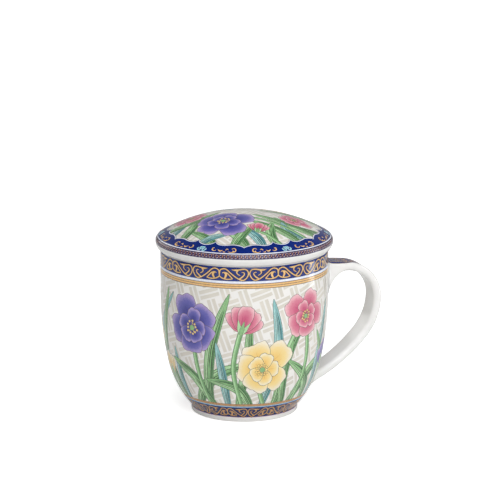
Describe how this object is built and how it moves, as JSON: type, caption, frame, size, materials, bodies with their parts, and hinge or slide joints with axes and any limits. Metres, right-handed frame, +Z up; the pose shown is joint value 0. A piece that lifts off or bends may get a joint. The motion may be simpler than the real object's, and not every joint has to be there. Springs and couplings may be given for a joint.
{
  "type": "lidded tea mug with infuser",
  "caption": "Round-bellied porcelain mug with a strap handle, a domed lift-off lid and a lift-out perforated steel infuser basket under it.",
  "frame": {"origin": "on the mug's axis, in the plane of its foot ring", "axes": "+Z up along the mug's axis, +X towards the handle, +Y completes the right-handed frame"},
  "size_m": [0.116, 0.0888, 0.1011],
  "materials": {
    "printed_porcelain": "glossy clear glaze over a fired print",
    "handle_porcelain": "glossy clear glaze",
    "lid_porcelain": "glossy clear glaze over a fired print",
    "steel_sheet": "drawn and polished stainless sheet",
    "perforated_steel": "etched stainless foil"
  },
  "bodies": {
    "mug": {"mug_body": "printed_porcelain", "mug_handle": "handle_porcelain"},
    "infuser": {"infuser_rim": "steel_sheet", "infuser_sleeve": "perforated_steel", "infuser_base": "perforated_steel", "infuser_base_hoop": "steel_sheet"},
    "lid": {"lid": "lid_porcelain"}
  },
  "joints": [
    {"name": "infuser_lift", "type": "slide", "parent": "mug", "child": "infuser", "axis": [0, 0, 1], "range_m": [0, 0.085]},
    {"name": "lid_lift", "type": "slide", "parent": "infuser", "child": "lid", "axis": [0, 0, 1], "range_m": [0, 0.05]}
  ]
}
